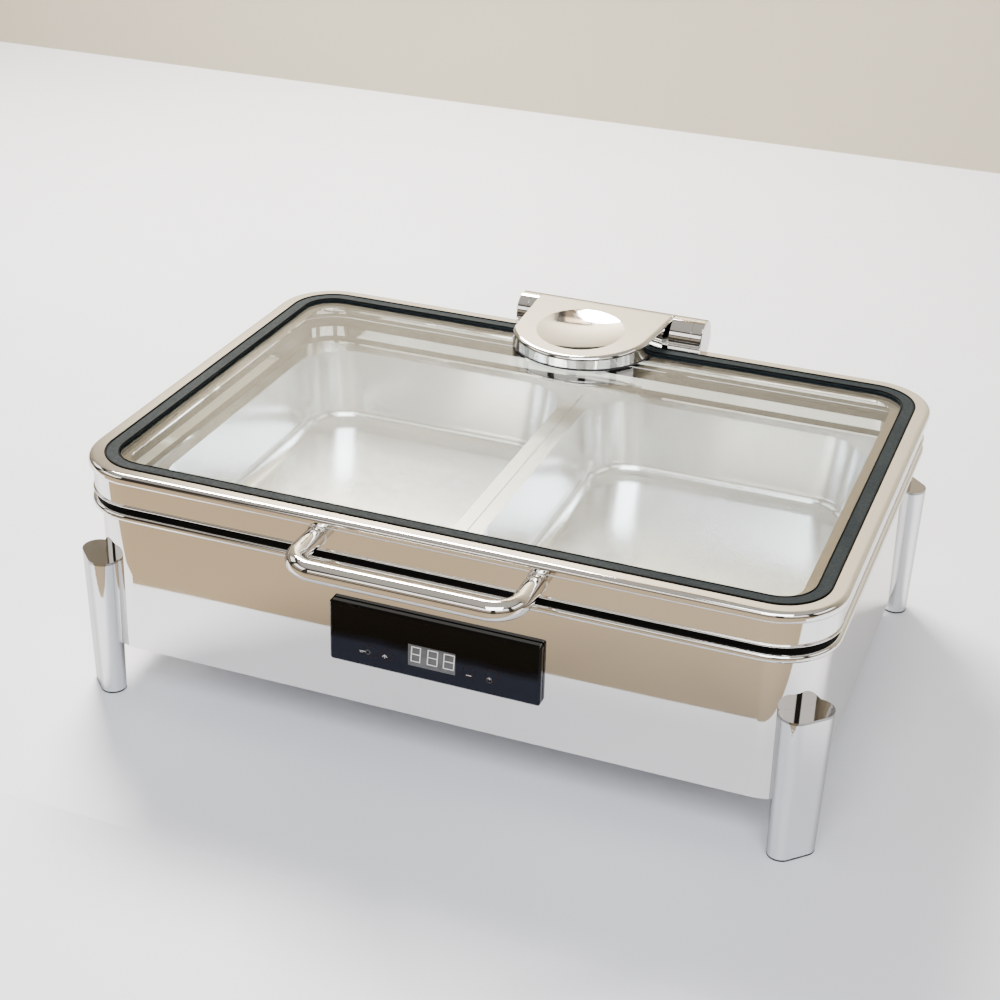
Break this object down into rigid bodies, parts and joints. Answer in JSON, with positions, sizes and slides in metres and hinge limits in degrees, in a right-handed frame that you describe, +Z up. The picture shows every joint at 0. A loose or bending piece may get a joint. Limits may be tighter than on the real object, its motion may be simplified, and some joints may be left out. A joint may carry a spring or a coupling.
{
  "type": "electric buffet warmer",
  "caption": "Rectangular electric buffet warmer with a hinged glass lid, lift-out food pans over a heated water pan, a touch panel and corner legs.",
  "frame": {"origin": "on the table under the middle of the whole object's box, handle and hinge included", "axes": "+Z up, the front with the handle and touch panel faces -Y, +X along the long side to the right seen from the front"},
  "size_m": [0.59, 0.4992, 0.2188],
  "materials": {
    "mirror_steel": "stainless steel polished to a mirror",
    "satin_steel": "stainless steel, satin",
    "zinc_steel": "zinc-plated steel",
    "clear_glass": "clear toughened glass",
    "black_glass": "black back-printed glass, glossy, bevelled round the front",
    "slate_rubber": "slate grey rubber, matt",
    "black_rubber": "black rubber, matt",
    "black_plastic": "black moulded plastic",
    "white_acetal": "white acetal",
    "display_grey": "grey display face",
    "circuit_board": "green glass-fibre board",
    "transformer_tape": "yellow wound tape",
    "cast_aluminium": "plain aluminium",
    "pin_brass": "plain brass",
    "lead_insulation": "silicone-covered lead"
  },
  "bodies": {
    "base": {"front_left_leg": "mirror_steel", "front_right_leg": "mirror_steel", "back_left_leg": "mirror_steel", "back_right_leg": "mirror_steel", "leg_blocks": "zinc_steel", "leg_bolts": "zinc_steel", "outer_casing": "mirror_steel", "base_plate": "satin_steel", "base_plate_screws": "zinc_steel", "water_pan": "mirror_steel", "lid_seal": "black_rubber", "pan_support_bar": "satin_steel", "hinge_bracket": "mirror_steel", "hinge_bracket_screws": "zinc_steel", "hinge_pin": "zinc_steel", "left_hinge_cap": "mirror_steel", "right_hinge_cap": "mirror_steel", "panel_housing": "black_plastic", "panel_glass": "black_glass", "display_module": "display_grey", "control_board": "circuit_board", "touch_springs": "zinc_steel", "control_board_screws": "zinc_steel", "power_inlet": "black_plastic", "inlet_pins": "pin_brass", "inlet_screws": "zinc_steel", "heating_plate": "cast_aluminium", "heating_tube": "satin_steel", "heater_studs": "zinc_steel", "temperature_sensor": "cast_aluminium", "thermal_cutout": "black_plastic", "power_board": "circuit_board", "power_transformer": "transformer_tape", "power_relay": "black_plastic", "power_terminals": "black_plastic", "board_standoffs": "zinc_steel", "power_board_screws": "zinc_steel", "wiring_loom": "lead_insulation", "foot_pads": "black_rubber", "leg_caps": "mirror_steel", "heater_straps": "satin_steel"},
    "lid": {"lid_frame": "mirror_steel", "glass_gasket": "slate_rubber", "lid_glass": "clear_glass", "lid_handle": "mirror_steel", "handle_inserts": "zinc_steel", "handle_screws": "zinc_steel", "hinge_barrel": "satin_steel", "hinge_bushes": "white_acetal", "hinge_damper": "black_plastic", "hinge_spring": "zinc_steel", "hinge_lid_plate": "satin_steel", "hinge_pad": "black_rubber", "hinge_backing_plate": "satin_steel", "hinge_lid_bolts": "zinc_steel", "hinge_cover": "mirror_steel"},
    "left_pan": {"left_food_pan": "satin_steel"},
    "right_pan": {"right_food_pan": "satin_steel"}
  },
  "joints": [
    {"name": "lid_hinge", "type": "hinge", "parent": "base", "child": "lid", "pos_m": [0, 0.2321, 0.2013], "axis": [-1, 0, 0], "range_deg": [0, 90]},
    {"name": "left_pan_lift", "type": "slide", "parent": "base", "child": "left_pan", "axis": [0, 0, 1], "range_m": [0, 0.02]},
    {"name": "right_pan_lift", "type": "slide", "parent": "base", "child": "right_pan", "axis": [0, 0, 1], "range_m": [0, 0.02]}
  ]
}
